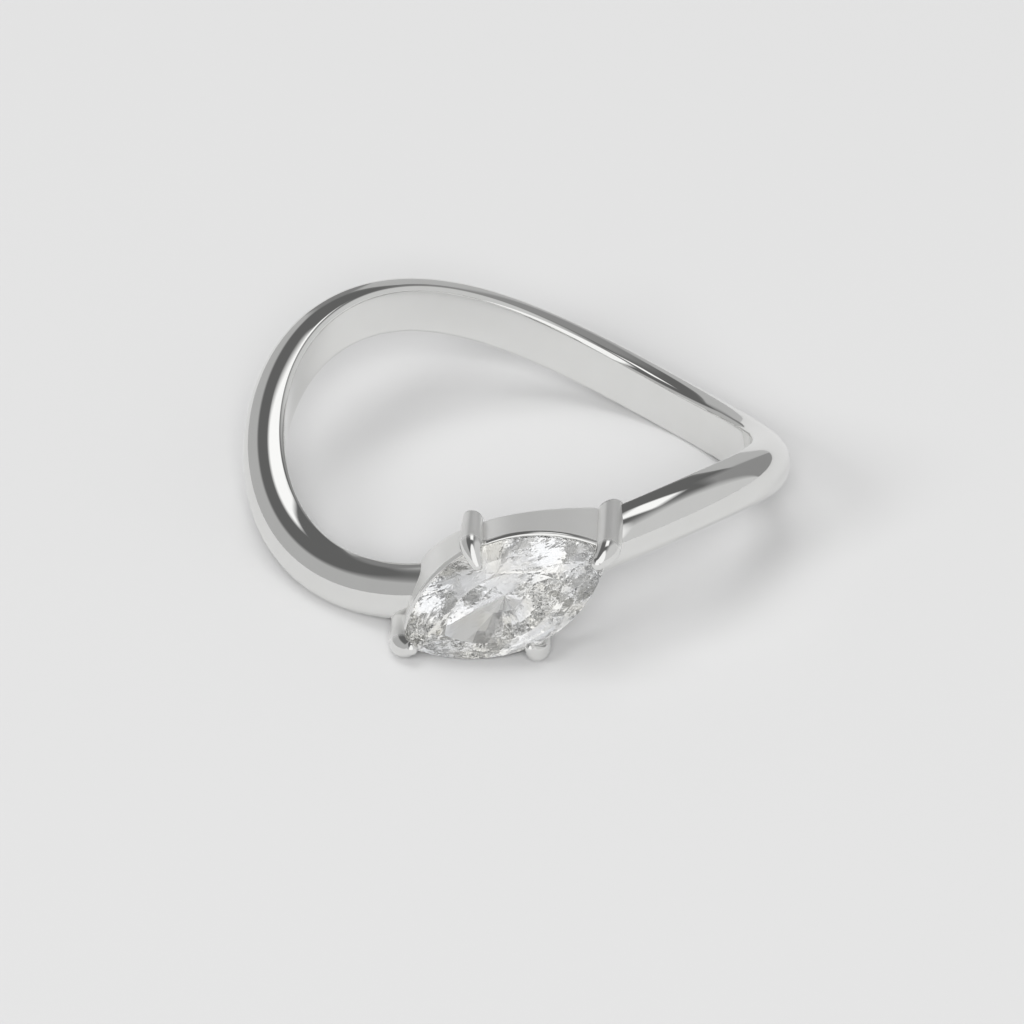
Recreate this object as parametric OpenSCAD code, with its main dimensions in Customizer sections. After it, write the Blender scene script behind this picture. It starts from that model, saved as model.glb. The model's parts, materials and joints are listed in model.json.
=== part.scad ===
// East west ring: a wavy half-round band that holds one marquise stone slantwise across the finger.
// Millimetres. The ring lies on its side, the finger hole's middle is the origin, and the stone faces -Y.

/* [Finger and band] */
// Diameter of the finger hole
finger_d = 16.5; // [14:0.1:21]
// Width of the band, across its path
band_w = 1.9; // [1.6:0.05:3]
// Thickness of the band at its crown
band_t = 1.45; // [1.1:0.05:2]
// Height of the band's straight sides, from the finger hole
side_h = 0.4; // [0.3:0.05:0.8]
// Radius of the soft edges beside the finger
edge_r = 0.22; // [0.15:0.01:0.28]
// Rise and fall of the wave, from its middle
wave_h = 1.72; // [0.8:0.02:2]

/* [Stone] */
// Length of the stone
stone_l = 8; // [6.5:0.1:9]
// Width of the stone
stone_w = 4.25; // [3.6:0.05:4.8]
// Height of the crown, above the girdle
crown_h = 0.65; // [0.5:0.05:0.9]
// Depth of the pavilion, below the girdle
pavilion_h = 1.6; // [1.3:0.05:1.8]
// Thickness of the girdle
girdle_t = 0.1; // [0.05:0.01:0.2]
// Height of the girdle's middle above the finger hole
girdle_lift = 1.93; // [1.85:0.02:2.6]
// Slant of the stone's long side against the band's plane
slant = 31; // [15:1:40]

/* [Gallery] */
// How far the wall stands out from the stone's outline
wall_out = 0.06; // [0:0.02:0.2]
// Width of the ledge that the stone sits on, from the stone's outline inwards
ledge_w = 0.4; // [0.3:0.05:0.5]
// Depth of the wall's rim below the girdle's middle
rim_drop = 0.3; // [0.2:0.02:0.4]
// Depth of the wall, from its rim towards the finger
wall_h = 1.3; // [0.8:0.05:1.4]
// Radius of the arch that the wall's back edge follows, from the stone's middle to the finger hole
arch_r = 5.2; // [4.8:0.1:8]
// Clearance between the stone and the metal
seat_gap = 0.03; // [0.02:0.01:0.06]

/* [Prongs at the tips] */
// Diameter of the posts at the stone's tips
tip_d = 0.92; // [0.6:0.02:1]
// How far they stand out from the tips
tip_out = 0.52; // [0.3:0.02:0.6]
// How far they reach in over the tips
tip_reach = 0.6; // [0.4:0.02:0.9]
// Diameter of their ends over the stone
tip_end_d = 0.5; // [0.3:0.02:0.6]

/* [Claws at the sides] */
// Diameter of the claws at their shoulders
claw_d = 0.86; // [0.6:0.02:1]
// Diameter of their feet
claw_foot_d = 0.72; // [0.4:0.02:0.8]
// How far they stand out from the stone's sides
claw_out = 0.67; // [0.4:0.02:0.8]
// How far they reach in over the sides
claw_reach = 0.46; // [0.3:0.02:0.7]
// Diameter of their ends over the stone
claw_end_d = 0.4; // [0.3:0.02:0.5]

/* [All prongs] */
// Height of the prongs' shoulders above the girdle's middle
shoulder_h = 0.12; // [0:0.02:0.3]

/* [Hidden] */

finger_r = finger_d / 2;
mid_r = finger_r + band_t / 2;
half_l = stone_l / 2;
half_w = stone_w / 2;
girdle_r = finger_r + girdle_lift;
rim_r = girdle_r - rim_drop;
back_r = rim_r - wall_h;

// Exponent of the crown's superellipse, where 2 is a plain half ellipse
dome_power = 2.2;
// Steps over the crown of the band, and along the band
dome_steps = 18;
band_steps = 96;
// The soft edge is an arc from the side to edge_turn degrees, in edge_steps
edge_turn = 65;
edge_steps = 4;
// The raw band reaches this far into the finger hole before it is bored
bore_stock = 0.3;
// The raw band ends inside the gallery, this share of the way from its middle to its tip
END_SHARE = 0.6;
band_end = asin(END_SHARE * half_l * cos(slant) / mid_r);
// The raw wall, the raw posts and the hollow start this far inside the finger hole
deep = 1.5;
// The raw claws start this far inside the middle of the gallery's back edge, each as a disc this thick
claw_stock = 0.4;
disc_t = 0.1;
// Height of a cutter that goes right through the ring
through = 4 * stone_l;
// Sides of a true round and of a blended one
ROUND = 180;
BLEND = 32;

// Shares of the cut: the table, and the heights of the crown's and the pavilion's middle points
TABLE = 0.58;
STAR = 0.64;
LOWER = 0.8;
// The facets are cut on an outline this much larger than the girdle, which then trims them
rough = 1.02;

// Radius of the two arcs that make a marquise outline, and how far their centres lie off its middle
function arc_r(l, w) = (l * l + w * w) / (2 * w);
function arc_off(l, w) = arc_r(l, w) - w;

// The ring rests on its side on three points: the band's two lowest, at 45 and 225 degrees, and the
// gallery rim's lowest. So it leans about the line through the first two.
rim_arc = arc_r(half_l, half_w) + wall_out;
rim_low_a = -rim_arc * sin(slant);
rim_low_b = arc_off(half_l, half_w) - rim_arc * cos(slant);
rim_low_x = rim_low_a * cos(slant) - rim_low_b * sin(slant);
rim_low_z = rim_low_a * sin(slant) + rim_low_b * cos(slant);
band_low_z = -wave_h - band_w / 2;
lean = atan((rim_low_z - band_low_z) * sqrt(2) / (rim_low_x + rim_r));

module resting() {
    rotate(a = lean, v = [1, 1, 0]) children();
}

// Slope of the band's path at an angle around the finger
function path_slope(th) = atan(-2 * wave_h * cos(2 * th) / mid_r);

// A point of the band: angle around the finger, place across the band, height above the finger hole
function band_point(th, across, up) =
    let (
        slope = path_slope(th),
        turn = -across * sin(slope) / mid_r * 180 / PI,
        r = finger_r + up
    )
    [r * cos(th + turn), r * sin(th + turn), -wave_h * sin(2 * th) + across * cos(slope)];

// Half of the inner side and soft edge, from the middle to the side, as [across, up]
function edge_profile() =
    let (
        start = [
            band_w / 2 - edge_r + edge_r * cos(edge_turn),
            edge_r - edge_r * sin(edge_turn)
        ],
        stock = [start.x - (start.y + bore_stock) * tan(edge_turn), -bore_stock]
    )
    concat([stock], [
        for (i = [0:edge_steps])
            let (a = edge_turn * (i / edge_steps - 1))
            [band_w / 2 - edge_r + edge_r * cos(a), edge_r + edge_r * sin(a)]
    ]);

// The crown, from one side to the other, as [across, up]
function dome_profile() = [
    for (i = [0:dome_steps])
        let (a = 180 * i / dome_steps, c = cos(a), s = sin(a))
        [
            band_w / 2 * sign(c) * pow(abs(c), 2 / dome_power),
            side_h + (band_t - side_h) * pow(abs(s), 2 / dome_power)
        ]
];

function flipped(profile) = [
    for (i = [len(profile) - 1:-1:0]) [-profile[i].x, profile[i].y]
];

function band_profile() =
    let (edge = edge_profile())
    concat(edge, dome_profile(), flipped(edge));

// The raw band: the D section carried along the wave, from one side of the stone round to the other
module band() {
    profile = band_profile();
    m = len(profile);
    points = [
        for (i = [0:band_steps])
            let (th = 270 + band_end + (360 - 2 * band_end) * i / band_steps)
            for (p = profile) band_point(th, p.x, p.y)
    ];
    skin = [
        for (i = [0:band_steps - 1], j = [0:m - 1])
            let (k = (j + 1) % m)
            [i * m + j, (i + 1) * m + j, (i + 1) * m + k, i * m + k]
    ];
    caps = [
        [for (j = [0:m - 1]) j],
        [for (j = [m - 1:-1:0]) band_steps * m + j]
    ];
    polyhedron(points, concat(skin, caps));
}

// Puts a thing made with X along the stone, Y across it and Z outward in its place on the ring
module in_setting() {
    rotate([90, 0, 0]) rotate([0, 0, slant]) children();
}

// A marquise prism between two heights, made larger all round by grow
module marquise(low, high, grow = 0) {
    r = arc_r(half_l, half_w) + grow;
    off = arc_off(half_l, half_w);
    translate([0, 0, low])
        linear_extrude(high - low)
            intersection() {
                translate([0, -off]) circle(r, $fn = ROUND);
                translate([0, off]) circle(r, $fn = ROUND);
            }
}

// Point k of 16 around the outline of a marquise, from the +X tip over +Y and back
function rim_point(k, l, w) =
    let (
        side = k < 8 ? 1 : -1,
        a = asin(l / arc_r(l, w)) * (1 - (k % 8) / 4)
    )
    [side * arc_r(l, w) * sin(a), side * (arc_r(l, w) * cos(a) - arc_off(l, w))];

// The way that main facet j of 8 faces: along the stone at the tips, else square to the outline
function main_facing(j, l, w) =
    let (
        side = j < 4 ? 1 : -1,
        a = asin(l / arc_r(l, w)) * (1 - (j % 4) / 2)
    )
    j % 4 == 0 ? [side, 0] : [side * sin(a), side * cos(a)];

// Where two main facets meet at one height: their level lines are p * facing = reach
function crossing(f, g, reach_f, reach_g) =
    let (d = f.x * g.y - f.y * g.x)
    [(reach_f * g.y - reach_g * f.y) / d, (f.x * reach_g - g.x * reach_f) / d];

// The middle points of the crown or pavilion, between main facets j and j + 1.
// A level line's reach falls from the girdle's to a share of it as the height goes from 0 to 1.
function middle_points(l, w, share, height, z) = [
    for (j = [0:7])
        let (
            f = main_facing(j, l, w),
            g = main_facing((j + 1) % 8, l, w),
            fall = 1 - (1 - share) * height,
            p = crossing(f, g, fall * f * rim_point(2 * j, l, w),
                fall * g * rim_point((2 * j + 2) % 16, l, w))
        )
        [p.x, p.y, z]
];

// The cut stone. Points 0 to 7 are the table, 8 to 15 and 48 to 55 the middle points,
// 16 to 31 and 32 to 47 the girdle's upper and lower edge, and 56 the culet.
module cut_stone(grow = 0) {
    l = (half_l + grow) * rough;
    w = (half_w + grow) * rough;
    top = girdle_r + girdle_t / 2 + grow;
    low = girdle_r - girdle_t / 2 - grow;
    table = [
        for (j = [0:7])
            let (p = rim_point(2 * j, l, w) * TABLE)
            [p.x, p.y, top + crown_h]
    ];
    crown = middle_points(l, w, TABLE, STAR, top + crown_h * STAR);
    upper = [for (k = [0:15]) let (p = rim_point(k, l, w)) [p.x, p.y, top]];
    lower = [for (p = upper) [p.x, p.y, low]];
    pavilion = middle_points(l, w, 0, LOWER, low - pavilion_h * LOWER);
    culet = [0, 0, low - pavilion_h];
    points = concat(table, crown, upper, lower, pavilion, [culet]);
    around = [for (j = [0:7]) let (n = (j + 1) % 8, b = (j + 7) % 8, g = 2 * j) each [
        [8 + b, j, 8 + j, 16 + g],
        [j, n, 8 + j],
        [8 + j, 17 + g, 16 + g],
        [8 + j, 16 + (g + 2) % 16, 17 + g],
        [16 + g, 17 + g, 33 + g, 32 + g],
        [17 + g, 16 + (g + 2) % 16, 32 + (g + 2) % 16, 33 + g],
        [48 + j, 32 + g, 33 + g],
        [48 + j, 33 + g, 32 + (g + 2) % 16],
        [56, 48 + b, 32 + g, 48 + j]
    ]];
    intersection() {
        polyhedron(points, concat([[7, 6, 5, 4, 3, 2, 1, 0]], around));
        marquise(culet.z - deep, top + crown_h + deep, grow);
    }
}

// The closed wall under the stone's edge
module gallery() {
    marquise(finger_r - deep, rim_r, wall_out);
}

// A post towards the finger whose top is drawn in over the stone to a rounded end. It stands beyond
// the stone's outline at edge on +X, and the crown rises by slope for each millimetre inwards.
module prong(edge, out, reach, slope, post_d, foot_d, foot_r, end_d) {
    post_x = edge + out - post_d / 2;
    end_x = edge - reach + end_d / 2;
    end_r = girdle_r + girdle_t / 2 + slope * reach + end_d / 2;
    hull() {
        translate([post_x, 0, foot_r]) cylinder(d = foot_d, h = disc_t, $fn = BLEND);
        translate([post_x, 0, girdle_r + shoulder_h]) sphere(d = post_d, $fn = BLEND);
        translate([end_x, 0, end_r]) sphere(d = end_d, $fn = BLEND);
    }
}

module tip_prong() {
    slope = crown_h / (half_l * (1 - TABLE));
    prong(half_l, tip_out, tip_reach, slope, tip_d, tip_d, finger_r - deep, tip_end_d);
}

module side_claw() {
    slope = crown_h / (half_w * (1 - TABLE));
    prong(half_w, claw_out, claw_reach, slope, claw_d, claw_foot_d, back_r - claw_stock, claw_end_d);
}

// The gallery with its prongs, whose back is an arch between the places where it meets the finger hole
module setting() {
    difference() {
        in_setting() {
            gallery();
            for (turn = [0, 180]) rotate([0, 0, turn]) {
                tip_prong();
                rotate([0, 0, 90]) side_claw();
            }
        }
        translate([0, arch_r - back_r, 0]) cylinder(r = arch_r, h = through, center = true, $fn = ROUND);
    }
}

module ring_mount() {
    color("silver") resting() difference() {
        union() {
            band();
            setting();
        }
        cylinder(r = finger_r, h = through, center = true, $fn = ROUND);
        in_setting() {
            marquise(finger_r - deep, girdle_r, -ledge_w);
            cut_stone(seat_gap);
        }
    }
}

module marquise_stone() {
    color("azure") resting() in_setting() cut_stone();
}

ring_mount();
marquise_stone();
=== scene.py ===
"""An east west ring: a wavy half-round band that carries a marquise stone slantwise in a pronged gallery.

The ring's own shapes are worked out in millimetres, in a frame whose Z is the finger hole's axis and
whose -Y points at the stone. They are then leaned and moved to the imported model's frame, in metres.
"""

import json
import logging
from dataclasses import dataclass
from enum import Enum
from math import asin, cos, radians, sin

import bpy
import numpy as np
from mathutils import Matrix, Vector


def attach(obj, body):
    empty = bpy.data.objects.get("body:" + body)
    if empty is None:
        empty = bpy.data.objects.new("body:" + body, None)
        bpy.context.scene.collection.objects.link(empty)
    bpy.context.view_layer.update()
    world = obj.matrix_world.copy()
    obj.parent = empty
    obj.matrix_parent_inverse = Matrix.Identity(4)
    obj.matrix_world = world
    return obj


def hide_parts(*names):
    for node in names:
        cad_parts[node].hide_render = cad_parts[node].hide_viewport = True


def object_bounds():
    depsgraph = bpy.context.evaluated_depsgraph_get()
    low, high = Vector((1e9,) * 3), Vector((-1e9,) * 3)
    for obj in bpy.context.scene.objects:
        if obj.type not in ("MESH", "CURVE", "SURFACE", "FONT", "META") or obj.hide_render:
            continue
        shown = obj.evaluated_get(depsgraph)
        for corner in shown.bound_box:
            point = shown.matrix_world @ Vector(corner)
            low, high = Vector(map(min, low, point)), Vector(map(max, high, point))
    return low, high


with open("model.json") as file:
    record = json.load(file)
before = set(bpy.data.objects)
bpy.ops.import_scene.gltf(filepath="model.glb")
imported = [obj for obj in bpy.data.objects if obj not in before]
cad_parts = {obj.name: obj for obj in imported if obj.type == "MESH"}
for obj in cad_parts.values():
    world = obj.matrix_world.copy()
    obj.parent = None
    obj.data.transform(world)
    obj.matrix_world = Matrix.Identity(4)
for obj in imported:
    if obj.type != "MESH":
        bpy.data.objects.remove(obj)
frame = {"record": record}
CAD_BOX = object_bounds()

MM = 0.001
BODY = "root"

# The angle round the finger, from +X, at which the stone stands
STONE_TURN = 1.5 * np.pi
# The middle of a noise texture's values
NOISE_MIDDLE = 0.5
# The Mix node's sockets for colours, by number
MIX_SHARE, MIX_FIRST, MIX_SECOND, MIX_RESULT = 0, 6, 7, 2

log = logging.getLogger("ring")


class Slot(Enum):
    """The record's material slots."""

    METAL = "white_gold"
    STONE = "clear_stone"


@dataclass(frozen=True)
class Sizes:
    """The ring's driving sizes, in millimetres and degrees.

    Attributes:
        finger_r: radius of the finger hole.
        axis: direction of the finger hole's axis as the ring rests.
        band_w: width of the band, across its path.
        band_t: thickness of the band at its crown.
        side_h: height of the band's straight sides, from the finger hole.
        edge_r: radius of the band's soft edges beside the finger.
        wave_h: rise and fall of the wave, from its middle.
        dome_power: exponent of the crown's superellipse, where 2 is a plain half ellipse.
        stone_l: length of the stone.
        stone_w: width of the stone.
        crown_h: height of the stone's crown, above the girdle.
        pavilion_h: depth of the pavilion, below the girdle.
        girdle_t: thickness of the girdle.
        girdle_lift: height of the girdle's middle above the finger hole.
        table: size of the table, as a share of the stone's outline.
        slant: angle of the stone's long side against the band's plane.
        wall_out: how far the gallery's wall stands out from the stone's outline.
        ledge_w: width of the ledge, from the stone's outline inwards.
        rim_drop: depth of the wall's rim below the girdle's middle.
        wall_h: depth of the wall, from its rim towards the finger.
        arch_r: radius of the arch that the wall's back edge follows.
        shoulder_h: height of the prongs' shoulders above the girdle's middle.
        shy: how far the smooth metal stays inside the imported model's own surface.
    """

    finger_r: float
    axis: tuple[float, float, float]
    band_w: float = 1.9
    band_t: float = 1.45
    side_h: float = 0.4
    edge_r: float = 0.22
    wave_h: float = 1.72
    dome_power: float = 2.2
    stone_l: float = 8.0
    stone_w: float = 4.25
    crown_h: float = 0.65
    pavilion_h: float = 1.6
    girdle_t: float = 0.1
    girdle_lift: float = 1.93
    table: float = 0.58
    slant: float = 31.0
    wall_out: float = 0.06
    ledge_w: float = 0.4
    rim_drop: float = 0.3
    wall_h: float = 1.3
    arch_r: float = 5.2
    shoulder_h: float = 0.12
    shy: float = 0.002

    @property
    def mid_r(self) -> float:
        """Radius of the middle of the band's thickness."""
        return self.finger_r + self.band_t / 2

    @property
    def girdle_r(self) -> float:
        """Distance of the girdle's middle from the finger hole's axis."""
        return self.finger_r + self.girdle_lift

    @property
    def rim_r(self) -> float:
        """Distance of the gallery's rim from the finger hole's axis."""
        return self.girdle_r - self.rim_drop

    @property
    def back_r(self) -> float:
        """Distance of the middle of the gallery's back edge from the finger hole's axis."""
        return self.rim_r - self.wall_h

    @property
    def arc_r(self) -> float:
        """Radius of the two arcs that make the stone's outline."""
        half_l, half_w = self.stone_l / 2, self.stone_w / 2
        return (half_l**2 + half_w**2) / (2 * half_w)

    @property
    def arc_off(self) -> float:
        """Distance of those arcs' centres from the outline's middle."""
        return self.arc_r - self.stone_w / 2

    def back_line(self, x: np.ndarray) -> np.ndarray:
        """Distance of the gallery's back edge in front of the finger hole's axis, which is an arch.

        Args:
            x: places across the ring, to the right of the axis.

        Returns:
            The height of the arch's circle there, or of the finger hole's where that is more.
        """
        arch = self.back_r - self.arch_r + np.sqrt(np.maximum(self.arch_r**2 - x**2, 0))
        return np.maximum(arch, np.sqrt(self.finger_r**2 - x**2))

    def to_ring(self, local: np.ndarray) -> np.ndarray:
        """Points with X along the stone, Y across it and Z outward, in the ring's own frame.

        Args:
            local: an array of points, last axis of length three.

        Returns:
            The points turned by the slant, with the outward axis on -Y.
        """
        c, s = cos(radians(self.slant)), sin(radians(self.slant))
        x = local[..., 0] * c - local[..., 1] * s
        z = local[..., 0] * s + local[..., 1] * c
        return np.stack([x, -local[..., 2], z], axis=-1)

    def to_setting(self, points: np.ndarray) -> np.ndarray:
        """The reverse of to_ring.

        Args:
            points: an array of points in the ring's own frame.

        Returns:
            The points along the stone, across it and outward.
        """
        c, s = cos(radians(self.slant)), sin(radians(self.slant))
        x, y, z = points[..., 0], points[..., 1], points[..., 2]
        return np.stack([x * c + z * s, z * c - x * s, -y], axis=-1)

    def at_rest(self, points: np.ndarray) -> np.ndarray:
        """Points of the ring's own frame as the ring lies at rest, in metres.

        Args:
            points: an array of points, in millimetres.

        Returns:
            The points turned so that Z becomes the finger hole's axis at rest.
        """
        turn = Vector((0, 0, 1)).rotation_difference(Vector(self.axis)).to_matrix()
        return points @ np.array(turn).T * MM


def sizes_from_frame() -> Sizes:
    """The sizes, with the finger hole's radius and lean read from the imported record."""
    hole = next(m for m in frame["record"]["mounts"] if m["name"] == "finger_hole")
    return Sizes(finger_r=hole["dims"]["r_mm"], axis=tuple(hole["axis"]))


class Wire:
    """A shader socket that sums, products and quotients can be written with."""

    def __init__(self, graph: "Graph", socket: bpy.types.NodeSocket | None) -> None:
        """Wraps a node's output socket, or nothing for a node that has none."""
        self.graph = graph
        self.socket = socket

    def _math(self, operation: str, first: object, second: object) -> "Wire":
        """One Math node on two values or sockets."""
        return self.graph.node("ShaderNodeMath", {"operation": operation}, {0: first, 1: second})

    def __add__(self, other: object) -> "Wire":
        """self + other."""
        return self._math("ADD", self, other)

    def __radd__(self, other: object) -> "Wire":
        """other + self."""
        return self._math("ADD", other, self)

    def __sub__(self, other: object) -> "Wire":
        """self - other."""
        return self._math("SUBTRACT", self, other)

    def __rsub__(self, other: object) -> "Wire":
        """other - self."""
        return self._math("SUBTRACT", other, self)

    def __mul__(self, other: object) -> "Wire":
        """self * other."""
        return self._math("MULTIPLY", self, other)

    def __rmul__(self, other: object) -> "Wire":
        """other * self."""
        return self._math("MULTIPLY", other, self)

    def __truediv__(self, other: object) -> "Wire":
        """self / other."""
        return self._math("DIVIDE", self, other)

    def __rtruediv__(self, other: object) -> "Wire":
        """other / self."""
        return self._math("DIVIDE", other, self)

    def at_least(self, floor: float) -> "Wire":
        """The larger of self and floor."""
        return self._math("MAXIMUM", self, floor)

    def past(self, edge: float, soft: float) -> "Wire":
        """0 below the edge and 1 above it, with a straight ramp of width soft about the edge."""
        settings = {"operation": "MULTIPLY_ADD", "use_clamp": True}
        return self.graph.node("ShaderNodeMath", settings, {0: self, 1: 1 / soft, 2: 0.5 - edge / soft})


class Graph:
    """A node tree that nodes are added to by type, settings and socket values."""

    def __init__(self, tree: bpy.types.NodeTree) -> None:
        """Clears the tree."""
        self.tree = tree
        tree.nodes.clear()

    def node(
        self, kind: str, settings: dict[str, object], sockets: dict[str | int, object], out: str | int = 0,
    ) -> Wire:
        """Adds a node.

        Args:
            kind: the node's type name.
            settings: its properties, set first.
            sockets: its inputs by name or number, each a value or a Wire.
            out: the name or number of the output that is returned.

        Returns:
            The chosen output, or an empty Wire from a node that has none.
        """
        node = self.tree.nodes.new(kind)
        for name, value in settings.items():
            setattr(node, name, value)
        for key, value in sockets.items():
            if isinstance(value, Wire):
                self.tree.links.new(value.socket, node.inputs[key])
            else:
                node.inputs[key].default_value = value
        return Wire(self, node.outputs[out] if len(node.outputs) else None)

    def mixed(self, share: object, first: object, second: object) -> Wire:
        """A colour between two: the first where the share is 0, the second where it is 1."""
        sockets = {MIX_SHARE: share, MIX_FIRST: first, MIX_SECOND: second}
        return self.node("ShaderNodeMix", {"data_type": "RGBA"}, sockets, out=MIX_RESULT)


@dataclass(frozen=True)
class WhiteGold:
    """White gold, polished past a place and satin before it, with haze and hair lines from the wheel.

    Attributes:
        name: the material's name.
        colour: the metal's colour where the haze is thinnest.
        shade: its colour where the haze is thickest.
        polish: roughness of the polish.
        satin: roughness of the satin.
        satin_metallic: how far the satin metal is metallic, the rest being a matt sheen.
        polished_past: how far forward of the finger hole's middle the polish starts, in millimetres.
        blend: width of the change from satin to polish, in millimetres.
        haze: how far the haze changes the roughness.
        haze_scale: cells of haze in a metre.
        haze_detail: finer layers of the haze.
        line_scale: hair lines in a metre.
        line_detail: finer layers of the hair lines.
        line_height: height of the hair lines, in millimetres.
        line_depth: how strongly the hair lines show, from 0 to 1.
    """

    name: str = "white_gold_polished"
    colour: tuple[float, float, float, float] = (0.84, 0.84, 0.83, 1)
    shade: tuple[float, float, float, float] = (0.80, 0.80, 0.785, 1)
    polish: float = 0.045
    satin: float = 0.3
    satin_metallic: float = 0.8
    polished_past: float = -20.0
    blend: float = 0.2
    haze: float = 0.03
    haze_scale: float = 900.0
    haze_detail: float = 3.0
    line_scale: float = 9000.0
    line_detail: float = 2.0
    line_height: float = 0.01
    line_depth: float = 0.006

    def material(self) -> bpy.types.Material:
        """Makes the finish.

        The haze is noise in the colour and the roughness, and the hair lines are noise in the bump.
        The satin turns into polish along -Y.

        Returns:
            The material.
        """
        mat = bpy.data.materials.new(self.name)
        mat.use_nodes = True
        graph = Graph(mat.node_tree)
        place = graph.node("ShaderNodeTexCoord", {}, {}, out="Object")
        haze = graph.node("ShaderNodeTexNoise", {}, {
            "Vector": place, "Scale": self.haze_scale, "Detail": self.haze_detail,
        })
        lines = graph.node("ShaderNodeTexNoise", {}, {
            "Vector": place, "Scale": self.line_scale, "Detail": self.line_detail,
        })
        bump = graph.node("ShaderNodeBump", {}, {
            "Strength": self.line_depth, "Distance": MM * self.line_height, "Height": lines,
        })
        forward = graph.node("ShaderNodeSeparateXYZ", {}, {0: place}, out="Y") / -MM
        polished = forward.past(self.polished_past, self.blend)
        roughness = self.satin + (self.polish - self.satin) * polished
        shader = graph.node("ShaderNodeBsdfPrincipled", {}, {
            "Base Color": graph.mixed(haze, self.colour, self.shade),
            "Metallic": self.satin_metallic + (1 - self.satin_metallic) * polished,
            "Roughness": roughness + self.haze * (haze - NOISE_MIDDLE),
            "Normal": bump,
        })
        graph.node("ShaderNodeOutputMaterial", {}, {"Surface": shader})
        return mat


@dataclass(frozen=True)
class ClearStone:
    """A colourless cut stone, bright and sharp, with patches a trace warmer or cooler.

    Attributes:
        ior: its refractive index.
        colour: its colour between the patches.
        warm: the colour of its warm patches.
        cool: the colour of its cool patches.
        patch_scale: patches in a metre.
        patch_detail: finer layers of the patches.
        patch_soft: width of a patch's soft edge, in the noise's values.
        warm_past: the noise's value past which a patch is warm.
        cool_past: the value of 1 less the noise past which a patch is cool.
    """

    ior: float = 2.417
    colour: tuple[float, float, float, float] = (1.0, 1.0, 1.0, 1)
    warm: tuple[float, float, float, float] = (1.0, 0.985, 0.925, 1)
    cool: tuple[float, float, float, float] = (0.965, 0.98, 1.0, 1)
    patch_scale: float = 700.0
    patch_detail: float = 1.0
    patch_soft: float = 0.15
    warm_past: float = 0.5
    cool_past: float = 0.55

    def material(self) -> bpy.types.Material:
        """Makes the finish, a clear glass whose patches are where one noise is high or low.

        Returns:
            The material.
        """
        mat = bpy.data.materials.new("clear_stone_cut")
        mat.use_nodes = True
        graph = Graph(mat.node_tree)
        place = graph.node("ShaderNodeTexCoord", {}, {}, out="Object")
        patch = graph.node("ShaderNodeTexNoise", {}, {
            "Vector": place, "Scale": self.patch_scale, "Detail": self.patch_detail,
        })
        warmed = graph.mixed(patch.past(self.warm_past, self.patch_soft), self.colour, self.warm)
        cooled = (1 - patch).past(self.cool_past, self.patch_soft)
        shader = graph.node("ShaderNodeBsdfPrincipled", {}, {
            "Base Color": graph.mixed(cooled, warmed, self.cool),
            "Roughness": 0.0,
            "IOR": self.ior,
            "Transmission Weight": 1.0,
        })
        graph.node("ShaderNodeOutputMaterial", {}, {"Surface": shader})
        return mat


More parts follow.
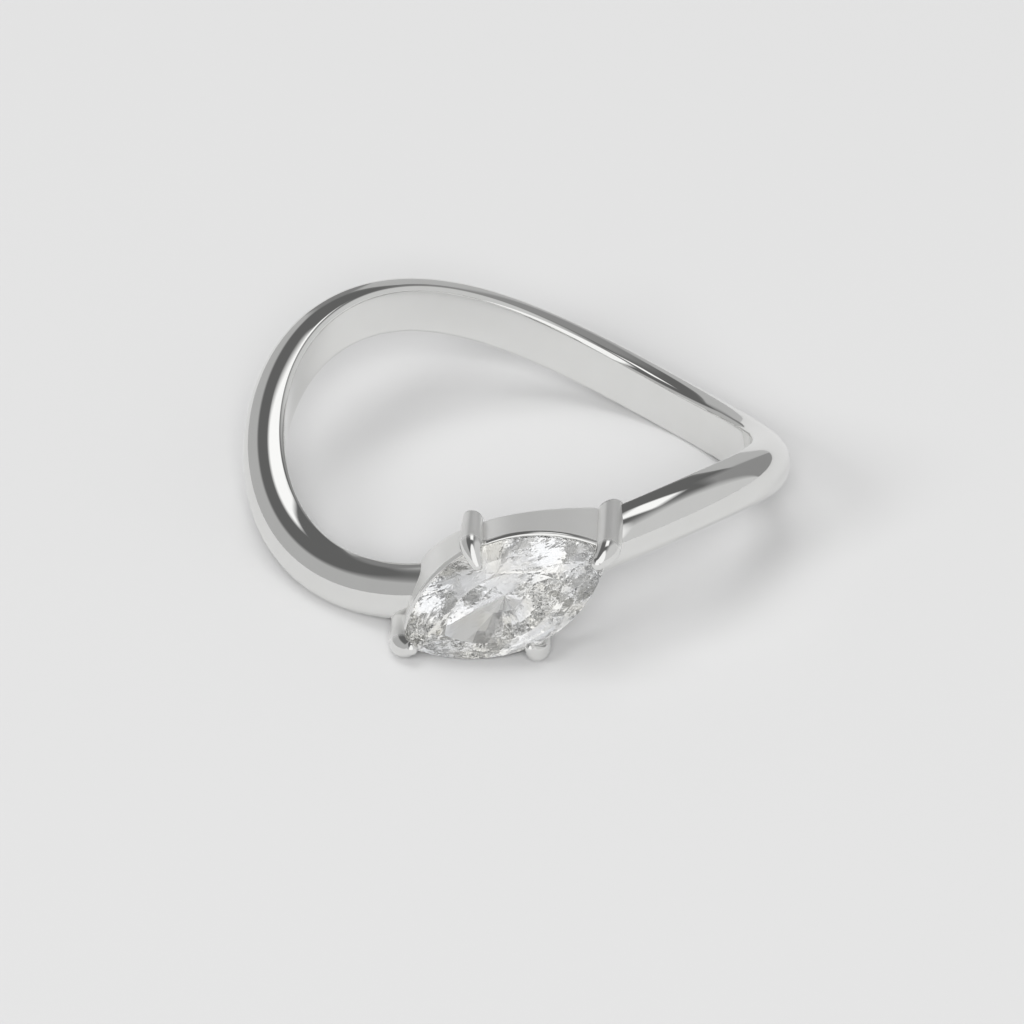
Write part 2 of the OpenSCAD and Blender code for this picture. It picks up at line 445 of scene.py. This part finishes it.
@dataclass
class Skin:
    """A closed surface as arrays: points, and faces that wrap round or end in poles.

    Attributes:
        points: the points, as rows of x, y and z.
        faces: each face's four corners as numbers of points, a triangle's last corner twice.
    """

    points: np.ndarray
    faces: np.ndarray

    @classmethod
    def tube(cls, grid: np.ndarray) -> "Skin":
        """A grid of rings, closed at both ends by a fan to the end ring's middle.

        Args:
            grid: points as [ring, place in the ring, xyz], each ring closed on itself.

        Returns:
            The closed surface.
        """
        rings, around = grid.shape[:2]
        ends = np.stack([grid[0].mean(axis=0), grid[-1].mean(axis=0)])
        row = np.arange(rings - 1)[:, None] * around
        here = np.arange(around)[None, :]
        there = (here + 1) % around
        quads = np.stack([row + here, row + there, row + around + there, row + around + here], axis=-1)
        return cls(np.concatenate([grid.reshape(-1, 3), ends]),
                   np.concatenate([quads.reshape(-1, 4), cls._fans(rings, around)]))

    @staticmethod
    def _fans(rings: int, around: int) -> np.ndarray:
        """Triangles from the two points after the grid's own to its first and its last ring.

        Args:
            rings: how many rings the grid has.
            around: how many points a ring has.

        Returns:
            The triangles, each with its last corner twice.
        """
        k = np.arange(around)
        n = (k + 1) % around
        first, last = rings * around, (rings - 1) * around
        return np.concatenate([
            np.stack([np.full(around, first), n, k, k], axis=-1),
            np.stack([np.full(around, first + 1), last + k, last + n, last + n], axis=-1),
        ])

    @classmethod
    def staggered(cls, rows: list[np.ndarray], ahead: list[bool], ends: np.ndarray) -> "Skin":
        """Rows of points joined by triangles where one row lies half a step ahead of the next.

        Args:
            rows: the rows, each an array of as many points, closed on itself.
            ahead: for each row, whether it is turned half a step forward.
            ends: the two points that close the first and the last row.

        Returns:
            The closed surface.
        """
        around = len(rows[0])
        k = np.arange(around)
        n = (k + 1) % around
        faces = []
        for row, (upper, lower) in enumerate(zip(ahead, ahead[1:])):
            u, v = row * around, (row + 1) * around
            if upper == lower:
                faces.append([u + k, u + n, v + n, v + k])
            elif lower:
                faces += [[u + k, u + n, v + k, v + k], [v + k, u + n, v + n, v + n]]
            else:
                faces += [[u + k, v + n, v + k, v + k], [u + k, u + n, v + n, v + n]]
        joined = [np.stack(face, axis=-1) for face in faces]
        return cls(np.concatenate([*rows, ends]), np.concatenate([*joined, cls._fans(len(rows), around)]))

    @classmethod
    def torus(cls, grid: np.ndarray) -> "Skin":
        """A grid that wraps round both ways.

        Args:
            grid: points as [ring, place in the ring, xyz].

        Returns:
            The closed surface.
        """
        rings, around = grid.shape[:2]
        row = np.arange(rings)[:, None]
        here = np.arange(around)[None, :]
        below, there = (row + 1) % rings, (here + 1) % around
        quads = np.stack([
            row * around + here, row * around + there, below * around + there, below * around + here,
        ], axis=-1)
        return cls(grid.reshape(-1, 3), quads.reshape(-1, 4))

    def _corners(self) -> tuple[np.ndarray, np.ndarray, np.ndarray]:
        """The faces' corners in one row, where a triangle has three.

        Returns:
            The corners, and each face's first place in the row and its number of corners.
        """
        count = np.where(self.faces[:, 2] == self.faces[:, 3], 3, 4)
        keep = np.arange(4)[None, :] < count[:, None]
        return self.faces[keep], np.concatenate([[0], np.cumsum(count)[:-1]]), count

    def outward(self) -> "Skin":
        """Turns the faces outwards.

        The triangles of each face make tetrahedra with the origin. Six times their signed volumes
        add up to more than zero if the faces point outwards.

        Returns:
            The same surface, or one whose faces run the other way round.
        """
        p = self.points[self.faces]
        volume = np.einsum("ij,ij->", p[:, 0], np.cross(p[:, 1], p[:, 2]) + np.cross(p[:, 2], p[:, 3]))
        if volume > 0:
            return self
        three = (self.faces[:, 2] == self.faces[:, 3])[:, None]
        return Skin(self.points, np.where(three, self.faces[:, [0, 2, 1, 1]], self.faces[:, ::-1]))

    def to_object(self, name: str, material: bpy.types.Material, smooth: bool) -> bpy.types.Object:
        """Makes the surface a mesh object of the scene.

        Args:
            name: the piece's name.
            material: its finish.
            smooth: whether its faces shade into each other.

        Returns:
            The object, at the origin.
        """
        skin = self.outward()
        corners, starts, counts = skin._corners()
        mesh = bpy.data.meshes.new(name)
        mesh.vertices.add(len(skin.points))
        mesh.vertices.foreach_set("co", skin.points.astype(np.float32).ravel())
        mesh.loops.add(len(corners))
        mesh.loops.foreach_set("vertex_index", corners.astype(np.int32))
        mesh.polygons.add(len(counts))
        mesh.polygons.foreach_set("loop_start", starts.astype(np.int32))
        mesh.polygons.foreach_set("use_smooth", np.full(len(counts), smooth))
        mesh.update(calc_edges=True)
        mesh.validate()
        mesh.materials.append(material)
        obj = bpy.data.objects.new(name, mesh)
        bpy.context.scene.collection.objects.link(obj)
        return obj


@dataclass
class Part:
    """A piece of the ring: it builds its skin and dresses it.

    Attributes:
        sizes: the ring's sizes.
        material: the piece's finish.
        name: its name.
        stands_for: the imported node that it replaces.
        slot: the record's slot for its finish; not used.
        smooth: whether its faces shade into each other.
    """

    sizes: Sizes
    material: bpy.types.Material
    name: str = "part"
    stands_for: str = "ring_mount"
    slot: Slot = Slot.METAL
    smooth: bool = True

    def skin(self) -> Skin:
        """The part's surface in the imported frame."""
        raise NotImplementedError

    def build(self) -> bpy.types.Object:
        """Makes the piece, lets it ride on the ring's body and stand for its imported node.

        Returns:
            The piece.
        """
        piece = self.skin().to_object(self.name, self.material, self.smooth)
        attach(piece, BODY)
        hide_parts(self.stands_for)
        log.info("%s: %d faces", self.name, len(piece.data.polygons))
        return piece


@dataclass
class Band(Part):
    """The wavy band with its D section, from one side of the stone round to the other.

    Attributes:
        along: rings along the band.
        dome_steps: steps over the section's crown.
        edge_steps: steps round each of its soft edges.
        flat_steps: steps across the side that faces the finger.
        cap_rings: smaller rings that close each end.
        cap_start: size of the smallest of them, as a share of the section.
        sunk: how far each end stops short of the gallery's inner face, inside the wall.
        widest_end: the largest angle between the stone and an end of the band, in radians.
        halvings: how often the search for an end halves its interval.
    """

    name: str = "band"
    along: int = 480
    dome_steps: int = 40
    edge_steps: int = 8
    flat_steps: int = 6
    cap_rings: int = 5
    cap_start: float = 0.15
    sunk: float = 0.03
    widest_end: float = 0.25 * np.pi
    halvings: int = 40

    def profile(self) -> np.ndarray:
        """The closed D section as [across, up].

        The crown is a half superellipse on straight sides, the edges beside the finger are quarter
        arcs, and the side that faces the finger is straight.

        Returns:
            The section's points, in millimetres.
        """
        s = self.sizes
        half = s.band_w / 2 - s.shy
        turn = np.linspace(0, np.pi, self.dome_steps + 1)
        share = np.sign(np.cos(turn)) * np.abs(np.cos(turn)) ** (2 / s.dome_power)
        rise = np.abs(np.sin(turn)) ** (2 / s.dome_power)
        dome = np.stack([half * share, s.side_h + (s.band_t - s.shy - s.side_h) * rise], axis=-1)
        bend = np.linspace(-np.pi / 2, 0, self.edge_steps + 1)
        edge = np.stack([half - s.edge_r + s.edge_r * np.cos(bend),
                         s.edge_r + s.edge_r * np.sin(bend)], axis=-1)
        flat = np.stack([np.linspace(-1, 1, self.flat_steps + 1)[1:-1] * (half - s.edge_r),
                         np.zeros(self.flat_steps - 1)], axis=-1)
        return np.concatenate([edge, dome, edge[::-1] * (-1, 1), flat])

    def surface(self, angle: np.ndarray, across: np.ndarray, up: np.ndarray) -> np.ndarray:
        """Points of the band at an angle round the finger.

        The band's middle line rises and falls twice round the finger as minus the sine of twice the
        angle. A point beside it is moved along the line's own normal on the cylinder.

        Args:
            angle: place round the finger, in radians from +X.
            across: place across the band.
            up: height above the finger hole.

        Returns:
            The points in the ring's own frame.
        """
        s = self.sizes
        slope = np.arctan(-2 * s.wave_h * np.cos(2 * angle) / s.mid_r)
        at = angle - across * np.sin(slope) / s.mid_r
        r = s.finger_r + up
        z = -s.wave_h * np.sin(2 * angle) + across * np.cos(slope)
        return np.stack([r * np.cos(at), r * np.sin(at), z], axis=-1)

    def end_angle(self, across: np.ndarray, up: np.ndarray, side: int) -> np.ndarray:
        """The angle at which each line of the band ends, in the wall just short of its inner face.

        Halving an interval finds where the line crosses the inner face's outline, moved out by sunk.
        That outline is the stone's own less the ledge.

        Args:
            across: each line's place across the band.
            up: its height above the finger hole.
            side: 1 for the end on +X, -1 for the end on -X.

        Returns:
            The angles, in radians.
        """
        s = self.sizes
        low = np.full(across.shape, STONE_TURN)
        high = low + side * self.widest_end
        reach = s.arc_r - s.ledge_w + self.sunk
        for _ in range(self.halvings):
            middle = (low + high) / 2
            local = s.to_setting(self.surface(middle, across, up))
            away = np.maximum(np.hypot(local[..., 0], local[..., 1] + s.arc_off),
                              np.hypot(local[..., 0], local[..., 1] - s.arc_off))
            outside = away > reach
            high = np.where(outside, middle, high)
            low = np.where(outside, low, middle)
        return (low + high) / 2

    def skin(self) -> Skin:
        """The band's rings along its path, and rings that shrink over each end.

        Returns:
            The closed surface.
        """
        profile = self.profile()
        heart = np.array([0, self.sizes.band_t / 2])
        shrink = np.linspace(self.cap_start, 1, self.cap_rings, endpoint=False)[:, None, None]
        caps = heart + (profile - heart) * shrink
        first = self.end_angle(caps[..., 0], caps[..., 1], 1)
        last = self.end_angle(caps[..., 0], caps[..., 1], -1) + 2 * np.pi
        start = self.end_angle(profile[:, 0], profile[:, 1], 1)
        stop = self.end_angle(profile[:, 0], profile[:, 1], -1) + 2 * np.pi
        share = np.linspace(0, 1, self.along)[:, None]
        body = start + (stop - start) * share
        across, up = (np.broadcast_to(profile[:, k], body.shape) for k in (0, 1))
        rings = [
            self.surface(first, caps[..., 0], caps[..., 1]),
            self.surface(body, across, up),
            self.surface(last, caps[..., 0], caps[..., 1])[::-1],
        ]
        return Skin.tube(self.sizes.at_rest(np.concatenate(rings)))


@dataclass
class Gallery(Part):
    """The closed wall under the stone's edge, with a bead for a rim and a ledge for the stone.

    Attributes:
        steps: sections along each of the outline's two arcs.
        bead_r: radius of the rim's bead.
        bead_rise: how far the bead's middle stands above the rim.
        bead_steps: steps over the bead.
        seat_h: depth of the ledge's soft inner edge below the rim, at that edge's middle.
        seat_w: width of the soft edge.
        seat_soft: half of its height.
        rows: rows up each of the wall's faces.
        low: where they start, as a share of the wall's height.
        high: where those of the inner face end.
        edge_r: radius of the soft edges beside the finger.
        edge_steps: steps round each of them.
    """

    name: str = "gallery"
    steps: int = 120
    bead_r: float = 0.12
    bead_rise: float = 0.05
    bead_steps: int = 14
    seat_h: float = 0.1
    seat_w: float = 0.04
    seat_soft: float = 0.02
    rows: int = 9
    low: float = 0.1
    high: float = 0.85
    edge_r: float = 0.04
    edge_steps: int = 4

    def section(self) -> np.ndarray:
        """The wall's section as [offset from the stone's outline, share up the wall, drop from there].

        It runs up the outer face, over the half round bead, down the seat and the inner face, and
        round the two soft edges beside the finger.

        Returns:
            The section's points.
        """
        s = self.sizes
        out, inner = s.wall_out - s.shy, -s.ledge_w
        turn = np.linspace(0, np.pi, self.bead_steps + 1)
        bead = np.stack([out - self.bead_r + self.bead_r * np.cos(turn), np.ones_like(turn),
                         -self.bead_rise - self.bead_r * np.sin(turn)], axis=-1)
        flush = np.zeros(self.rows)
        rising = np.linspace(self.low, 1, self.rows)
        up = np.stack([np.full(self.rows, out), rising, flush], axis=-1)
        seat = np.array([[inner + self.seat_w, 1, self.seat_h - self.seat_soft],
                         [inner, 1, self.seat_h + self.seat_soft]])
        falling = np.linspace(self.high, self.low, self.rows)
        down = np.stack([np.full(self.rows, inner), falling, flush], axis=-1)
        bend = np.linspace(0, np.pi / 2, self.edge_steps + 1)
        foot = np.zeros_like(bend)
        side, lift = self.edge_r * (1 - np.sin(bend)), self.edge_r * (1 - np.cos(bend))
        soft = [np.stack([inner + self.edge_r - self.edge_r * np.cos(bend), foot, -side], axis=-1),
                np.stack([out - self.edge_r + self.edge_r * np.sin(bend), foot, -lift], axis=-1)]
        return np.concatenate([up, bead, seat, down, *soft])

    def skin(self) -> Skin:
        """The section carried round the stone's outline.

        For each offset the outline is two arcs about the stone's own arc centres. The back edge
        follows the arch.

        Returns:
            The closed surface.
        """
        s = self.sizes
        section = self.section()
        reach = s.arc_r + section[:, 0]
        half = np.arccos(s.arc_off / reach)
        share = np.linspace(1, -1, self.steps, endpoint=False)[:, None]
        turn = share * half
        a, b = reach * np.sin(turn), reach * np.cos(turn) - s.arc_off
        a, b = np.concatenate([a, -a]), np.concatenate([b, -b])
        x = a * cos(radians(s.slant)) - b * sin(radians(s.slant))
        back = s.back_line(x)
        c = back + (s.rim_r - back) * section[:, 1] - section[:, 2]
        return Skin.torus(s.at_rest(s.to_ring(np.stack([a, b, c], axis=-1))))


class Edge(Enum):
    """Where a prong stands on the stone's outline, as its turn round the stone in degrees."""

    RIGHT_TIP = 0
    UPPER_SIDE = 90
    LEFT_TIP = 180
    LOWER_SIDE = 270


@dataclass
class Prong(Part):
    """A round post that rises beside the stone and is drawn in over its edge to a rounded end.

    Attributes:
        edge: where it stands.
        out: how far it stands out from the stone's edge.
        reach: how far it reaches in over the edge.
        post_d: its diameter at the shoulder.
        foot_d: diameter of its foot.
        end_d: diameter of its end over the stone.
        bend_drop: how far below the shoulder the hook starts, as a share of post_d.
        handle_rise: height of the hook's middle handle above the shoulder.
        around: points round the prong.
        steps: rings along it.
        cap_steps: steps over its rounded end.
    """

    edge: Edge = Edge.RIGHT_TIP
    out: float = 0.52
    reach: float = 0.6
    post_d: float = 0.92
    foot_d: float = 0.92
    end_d: float = 0.5
    bend_drop: float = 0.45
    handle_rise: float = 0.1
    around: int = 40
    steps: int = 48
    cap_steps: int = 12

    def axis_line(self, t: np.ndarray) -> tuple[np.ndarray, np.ndarray, np.ndarray]:
        """The prong's middle line and radius.

        Up to the bend below the shoulder it is straight. Above, it is a quadratic curve with its
        middle handle above the shoulder, which ends where the rounded end presses on the stone.

        Args:
            t: place along the line, 0 to 1 on the post and 1 to 2 on the hook.

        Returns:
            The distance from the stone's middle, the height from the finger's axis, and the radius.
        """
        s = self.sizes
        half = s.stone_l / 2 if self.edge in (Edge.RIGHT_TIP, Edge.LEFT_TIP) else s.stone_w / 2
        post = half + self.out - self.post_d / 2
        end = half - self.reach + self.end_d / 2
        slope = s.crown_h / (half * (1 - s.table))
        shoulder = s.girdle_r + s.shoulder_h
        top = s.girdle_r + s.girdle_t / 2 + slope * self.reach + self.end_d / 2
        bend = shoulder - self.bend_drop * self.post_d
        handle = shoulder + self.handle_rise
        low = np.clip(t, 0, 1)
        h = np.clip(t - 1, 0, 1)
        x = post + (end - post) * h**2
        c = np.where(t < 1, s.back_r + (bend - s.back_r) * low,
                     (1 - h) ** 2 * bend + 2 * h * (1 - h) * handle + h**2 * top)
        r = np.where(t < 1, self.foot_d + (self.post_d - self.foot_d) * low,
                     self.post_d + (self.end_d - self.post_d) * h**2) / 2 - s.shy
        return x, c, r

    def skin(self) -> Skin:
        """Rings across the middle line, from a foot on the gallery's back edge to a round end.

        The end is a half ball. Below the girdle the heights are stretched in proportion, so that the
        foot lies on the arch of the back edge.

        Returns:
            The closed surface.
        """
        s = self.sizes
        half = self.steps // 2
        t = np.concatenate([np.linspace(0, 1, half, endpoint=False), np.linspace(1, 2, half)])
        x, c, r = self.axis_line(t)
        dx, dc = np.gradient(x), np.gradient(c)
        length = np.hypot(dx, dc)
        dx, dc = dx / length, dc / length
        dome = np.linspace(0, np.pi / 2, self.cap_steps, endpoint=False)[1:]
        x = np.concatenate([x, x[-1] + dx[-1] * r[-1] * np.sin(dome)])
        c = np.concatenate([c, c[-1] + dc[-1] * r[-1] * np.sin(dome)])
        r = np.concatenate([r, r[-1] * np.cos(dome)])
        dx = np.concatenate([dx, np.full(len(dome), dx[-1])])
        dc = np.concatenate([dc, np.full(len(dome), dc[-1])])
        turn = np.linspace(0, 2 * np.pi, self.around, endpoint=False)
        side = r[:, None] * np.cos(turn)
        px = x[:, None] + side * dc[:, None]
        pc = c[:, None] - side * dx[:, None]
        py = r[:, None] * np.sin(turn)
        angle = radians(self.edge.value)
        local = np.stack([px * cos(angle) - py * sin(angle),
                          px * sin(angle) + py * cos(angle), pc], axis=-1)
        ring = s.to_ring(local)
        height, back = local[..., 2], s.back_line(ring[..., 0])
        stretched = back + (height - s.back_r) * (s.girdle_r - back) / (s.girdle_r - s.back_r)
        ring[..., 1] = -np.where(height < s.girdle_r, stretched, height)
        return Skin.tube(s.at_rest(ring))


@dataclass
class Stone(Part):
    """The cut stone: rows of facets between the table, the girdle and the culet.

    Each row is the stone's outline made smaller by a share, at a height. A row's points lie half a
    step round from those of the row before, so that the facets between two rows are triangles. Only
    the girdle's two rows stand straight above each other.

    Attributes:
        around: points in a row.
        crown: the rows below the table, as shares of the outline and of the crown's height.
        pavilion: the rows from the girdle down, as shares of the outline and of the depth.
    """

    name: str = "stone"
    stands_for: str = "marquise_stone"
    slot: Slot = Slot.STONE
    smooth: bool = False
    around: int = 32
    crown: tuple[tuple[float, float], ...] = ((0.8, 0.55), (1.0, 0.0))
    pavilion: tuple[tuple[float, float], ...] = ((1.0, 0.0), (0.8, 0.22), (0.52, 0.51), (0.25, 0.78))

    def row(self, share: float, height: float, ahead: bool) -> np.ndarray:
        """One row of points on the outline's two arcs, made smaller.

        Args:
            share: the row's size over the outline's.
            height: its distance from the finger hole's axis.
            ahead: whether it is turned half a step forward.

        Returns:
            The points, along the stone, across it and outward.
        """
        s = self.sizes
        place = (np.arange(self.around) + 0.5 * ahead) / self.around * 2
        turn = (1 - 2 * (place % 1)) * asin(s.stone_l / 2 / s.arc_r)
        side = np.where(place % 2 < 1, 1, -1)
        a = side * s.arc_r * np.sin(turn)
        b = side * (s.arc_r * np.cos(turn) - s.arc_off)
        return np.stack([a * share, b * share, np.full(self.around, height)], axis=-1)

    def skin(self) -> Skin:
        """The rows from the table to the culet, with both ends closed.

        Returns:
            The closed surface.
        """
        s = self.sizes
        top, low = s.girdle_r + s.girdle_t / 2, s.girdle_r - s.girdle_t / 2
        crown = ((s.table, 1.0), *self.crown)
        levels = [(share, top + s.crown_h * rise) for share, rise in crown]
        levels += [(share, low - s.pavilion_h * fall) for share, fall in self.pavilion]
        ahead = [(len(crown) - 1 - k) % 2 == 1 for k in range(len(crown))]
        ahead += [k % 2 == 1 for k in range(len(self.pavilion))]
        rows = [self.row(share, height, turned) for (share, height), turned in zip(levels, ahead)]
        ends = np.array([[0, 0, top + s.crown_h], [0, 0, low - s.pavilion_h]])
        skin = Skin.staggered(rows, ahead, ends)
        return Skin(s.at_rest(s.to_ring(skin.points)), skin.faces)


@dataclass(frozen=True)
class CeilingBox:
    """A rectangular softbox overhead. Its edges are slopes: sideways or backward over upward."""

    left: float = -0.16
    right: float = 0.235
    front: float = 0.15
    back: float = 0.7
    soft: float = 0.12
    strength: float = 1.15

    def mask(self, side: Wire, depth: Wire) -> Wire:
        """1 inside the box and 0 outside.

        Args:
            side: the direction's slope towards +X.
            depth: the direction's slope towards +Y.

        Returns:
            The box's mask.
        """
        across = side.past(self.left, self.soft) * (1 - side.past(self.right, self.soft))
        return across * depth.past(self.front, self.soft) * (1 - depth.past(self.back, self.soft))


@dataclass(frozen=True)
class WallPanel:
    """A wide upright panel, seen from the ring. Azimuths run from +Y towards +X, in degrees.

    Attributes:
        azimuth: the way to the panel, square to its top edge.
        reach: horizontal distance of its top edge over its height.
        strength: its brightness.
        left: azimuth of its left end.
        right: azimuth of its right end, less than half a turn further.
        soft: width of the edges' ramps.
    """

    azimuth: float
    reach: float
    strength: float
    left: float
    right: float
    soft: float = 0.15

    def mask(self, side: Wire, depth: Wire) -> Wire:
        """1 below the panel's top edge and between its ends, and 0 elsewhere.

        Args:
            side: the direction's slope towards +X.
            depth: the direction's slope towards +Y.

        Returns:
            The panel's mask.
        """
        turn, left, right = radians(self.azimuth), radians(self.left), radians(self.right)
        below = (side * sin(turn) + depth * cos(turn)).past(self.reach, self.soft)
        after = (side * cos(left) - depth * sin(left)).past(0, self.soft)
        before = (depth * sin(right) - side * cos(right)).past(0, self.soft)
        return below * after * before


@dataclass(frozen=True)
class Lamp:
    """A square light that the metal and the stone don't mirror.

    Attributes:
        azimuth: where it stands, in degrees from +Y towards +X.
        elevation: its height above the floor, in degrees.
        size: its side, in metres.
        watts: its power.
        distance: how far it stands from the ring, in metres.
    """

    name: str
    azimuth: float
    elevation: float
    size: float
    watts: float
    distance: float = 3.0

    def build(self) -> None:
        """Makes the lamp and turns it to the ring."""
        az, el = radians(self.azimuth), radians(self.elevation)
        place = Vector((sin(az) * cos(el), cos(az) * cos(el), sin(el))) * self.distance
        data = bpy.data.lights.new(self.name, "AREA")
        data.size, data.energy = self.size, self.watts
        obj = bpy.data.objects.new(self.name, data)
        obj.location = place
        obj.rotation_euler = place.to_track_quat("Z", "Y").to_euler()
        obj.visible_glossy = obj.visible_transmission = False
        bpy.context.scene.collection.objects.link(obj)


@dataclass
class Studio:
    """The floor, the light and the camera.

    Attributes:
        floor_z: height of the floor, in metres.
        floor_half: half of the floor's side, in metres.
        floor_gloss: the floor's specular level.
        min_rise: the least upward share of a direction that its slopes are worked out with.
        panels: the panels round the ring, each over those before it.
        gap: brightness between the panels, high up.
        gap_low: the same near the horizon.
        gap_low_z: the upward share of a direction where one turns into the other.
        gap_soft: width of that change.
        lamps: the lamps that light what is matt, such as the floor.
        azimuth: the way that the camera looks, in degrees from +Y towards -X.
        elevation: how far it looks down, in degrees.
        roll: how far it is turned about its own axis, in degrees.
        distance: its distance from the finger hole's middle, in metres.
        pixels_per_mm: its scale at the finger hole's middle.
        centre_px: where that middle falls in a picture of frame_px pixels.
        nearest: where its view starts, in metres.
        farthest: where its view ends, in metres.
        bounces: how often light may bounce.
    """

    floor_z: float
    floor_half: float = 1.5
    floor_grey: float = 0.55
    floor_roughness: float = 0.9
    floor_gloss: float = 0.1
    min_rise: float = 0.02
    ceiling: CeilingBox = CeilingBox()
    panels: tuple[WallPanel, ...] = (
        WallPanel(azimuth=-82, reach=0.98, strength=0.49, left=-150, right=-19, soft=0.25),
        WallPanel(azimuth=6, reach=2.18, strength=0.5, left=-5, right=17),
        WallPanel(azimuth=45, reach=1.0, strength=0.3, left=16, right=75, soft=0.3),
        WallPanel(azimuth=100, reach=0.33, strength=0.66, left=55, right=200, soft=0.5),
        WallPanel(azimuth=180, reach=0.2, strength=1.1, left=147, right=213),
    )
    gap: float = 0.14
    gap_low: float = 0.25
    gap_low_z: float = 0.42
    gap_soft: float = 0.1
    lamps: tuple[Lamp, ...] = (
        Lamp("front_lamp", azimuth=178, elevation=31, size=0.9, watts=69),
        Lamp("left_lamp", azimuth=-142, elevation=28, size=0.84, watts=34),
        Lamp("top_lamp", azimuth=-110, elevation=76, size=2.0, watts=34),
    )
    azimuth: float = 1.67
    elevation: float = 29.31
    roll: float = 1.49
    distance: float = 275 * MM
    pixels_per_mm: float = 28.206
    centre_px: tuple[float, float] = (517.0, 449.9)
    frame_px: int = 1024
    sensor_mm: float = 36.0
    nearest: float = 0.01
    farthest: float = 10.0
    bounces: int = 24

    def floor(self) -> None:
        """A plain pale floor at the ring's lowest point."""
        h = self.floor_half
        mesh = bpy.data.meshes.new("floor")
        corners = [(x, y, self.floor_z) for x, y in ((-h, -h), (h, -h), (h, h), (-h, h))]
        mesh.from_pydata(corners, [], [(0, 1, 2, 3)])
        mat = bpy.data.materials.new("floor_paper")
        mat.use_nodes = True
        graph = Graph(mat.node_tree)
        shader = graph.node("ShaderNodeBsdfPrincipled", {}, {
            "Base Color": (self.floor_grey,) * 3 + (1,),
            "Roughness": self.floor_roughness,
            "Specular IOR Level": self.floor_gloss,
        })
        graph.node("ShaderNodeOutputMaterial", {}, {"Surface": shader})
        mesh.materials.append(mat)
        obj = bpy.data.objects.new("floor", mesh)
        bpy.context.scene.collection.objects.link(obj)

    def world(self) -> None:
        """Soft light from a ceiling box and wall panels, with a dim gap between them.

        A direction is read as its two slopes, sideways over upward and backward over upward, so that
        a straight edge in the room is a straight line in them.
        """
        world = bpy.data.worlds.new("studio")
        bpy.context.scene.world = world
        world.use_nodes = True
        graph = Graph(world.node_tree)
        toward = graph.node("ShaderNodeTexCoord", {}, {}, out="Generated")
        x, y, z = (graph.node("ShaderNodeSeparateXYZ", {}, {0: toward}, out=axis) for axis in "XYZ")
        rise = z.at_least(self.min_rise)
        side, depth = x / rise, y / rise
        glow = self.gap_low + (self.gap - self.gap_low) * z.past(self.gap_low_z, self.gap_soft)
        for panel in self.panels:
            glow = glow + (panel.strength - glow) * panel.mask(side, depth)
        glow = glow + (self.ceiling.strength - glow) * self.ceiling.mask(side, depth)
        light = graph.node("ShaderNodeBackground", {}, {"Color": (1, 1, 1, 1), "Strength": glow})
        graph.node("ShaderNodeOutputWorld", {}, {"Surface": light})

    def camera(self) -> None:
        """The camera at the photograph's angle.

        It is shifted a little, so that the finger hole's middle falls on centre_px.
        """
        az, el, roll = radians(self.azimuth), radians(self.elevation), radians(self.roll)
        back = Vector((sin(az) * cos(el), -cos(az) * cos(el), sin(el)))
        right = Vector((cos(az), sin(az), 0))
        up = back.cross(right)
        right, up = right * cos(roll) + up * sin(roll), up * cos(roll) - right * sin(roll)
        data = bpy.data.cameras.new("camera")
        data.sensor_width = self.sensor_mm
        data.lens = self.pixels_per_mm * self.distance / MM * data.sensor_width / self.frame_px
        data.shift_x = 0.5 - self.centre_px[0] / self.frame_px
        data.shift_y = self.centre_px[1] / self.frame_px - 0.5
        data.clip_start, data.clip_end = self.nearest, self.farthest
        obj = bpy.data.objects.new("camera", data)
        turn = Matrix((right, up, back)).transposed().to_4x4()
        obj.matrix_world = Matrix.Translation(back * self.distance) @ turn
        bpy.context.scene.collection.objects.link(obj)
        bpy.context.scene.camera = obj

    def light_paths(self) -> None:
        """Lets light bounce often enough to find its way out of the stone."""
        paths = bpy.context.scene.cycles
        paths.max_bounces = paths.glossy_bounces = paths.transmission_bounces = self.bounces

    def build(self) -> None:
        """Sets the whole studio up."""
        self.light_paths()
        self.floor()
        self.world()
        for lamp in self.lamps:
            lamp.build()
        self.camera()
        bpy.context.scene.view_settings.view_transform = "Standard"


def main() -> None:
    """Builds the ring and the studio."""
    logging.basicConfig(level=logging.INFO, format="%(name)s %(message)s")
    sizes = sizes_from_frame()
    metal = WhiteGold(
        name="white_gold_prongs", polished_past=10.25, haze=0.06, line_depth=0.04,
    ).material()
    wall = WhiteGold(
        name="white_gold_gallery", satin_metallic=0.72, polished_past=9.9, blend=0.04, haze=0.06,
        line_depth=0.04,
    )
    Band(sizes, WhiteGold().material()).build()
    Gallery(sizes, wall.material()).build()
    for edge in (Edge.RIGHT_TIP, Edge.LEFT_TIP):
        Prong(sizes, metal, name=f"prong_{edge.name.lower()}", edge=edge).build()
    for edge in (Edge.UPPER_SIDE, Edge.LOWER_SIDE):
        Prong(sizes, metal, name=f"prong_{edge.name.lower()}", edge=edge,
              out=0.67, reach=0.46, post_d=0.86, foot_d=0.72, end_d=0.4).build()
    Stone(sizes, ClearStone().material()).build()
    Studio(floor_z=CAD_BOX[0].z).build()


if __name__ == "__main__":
    main()
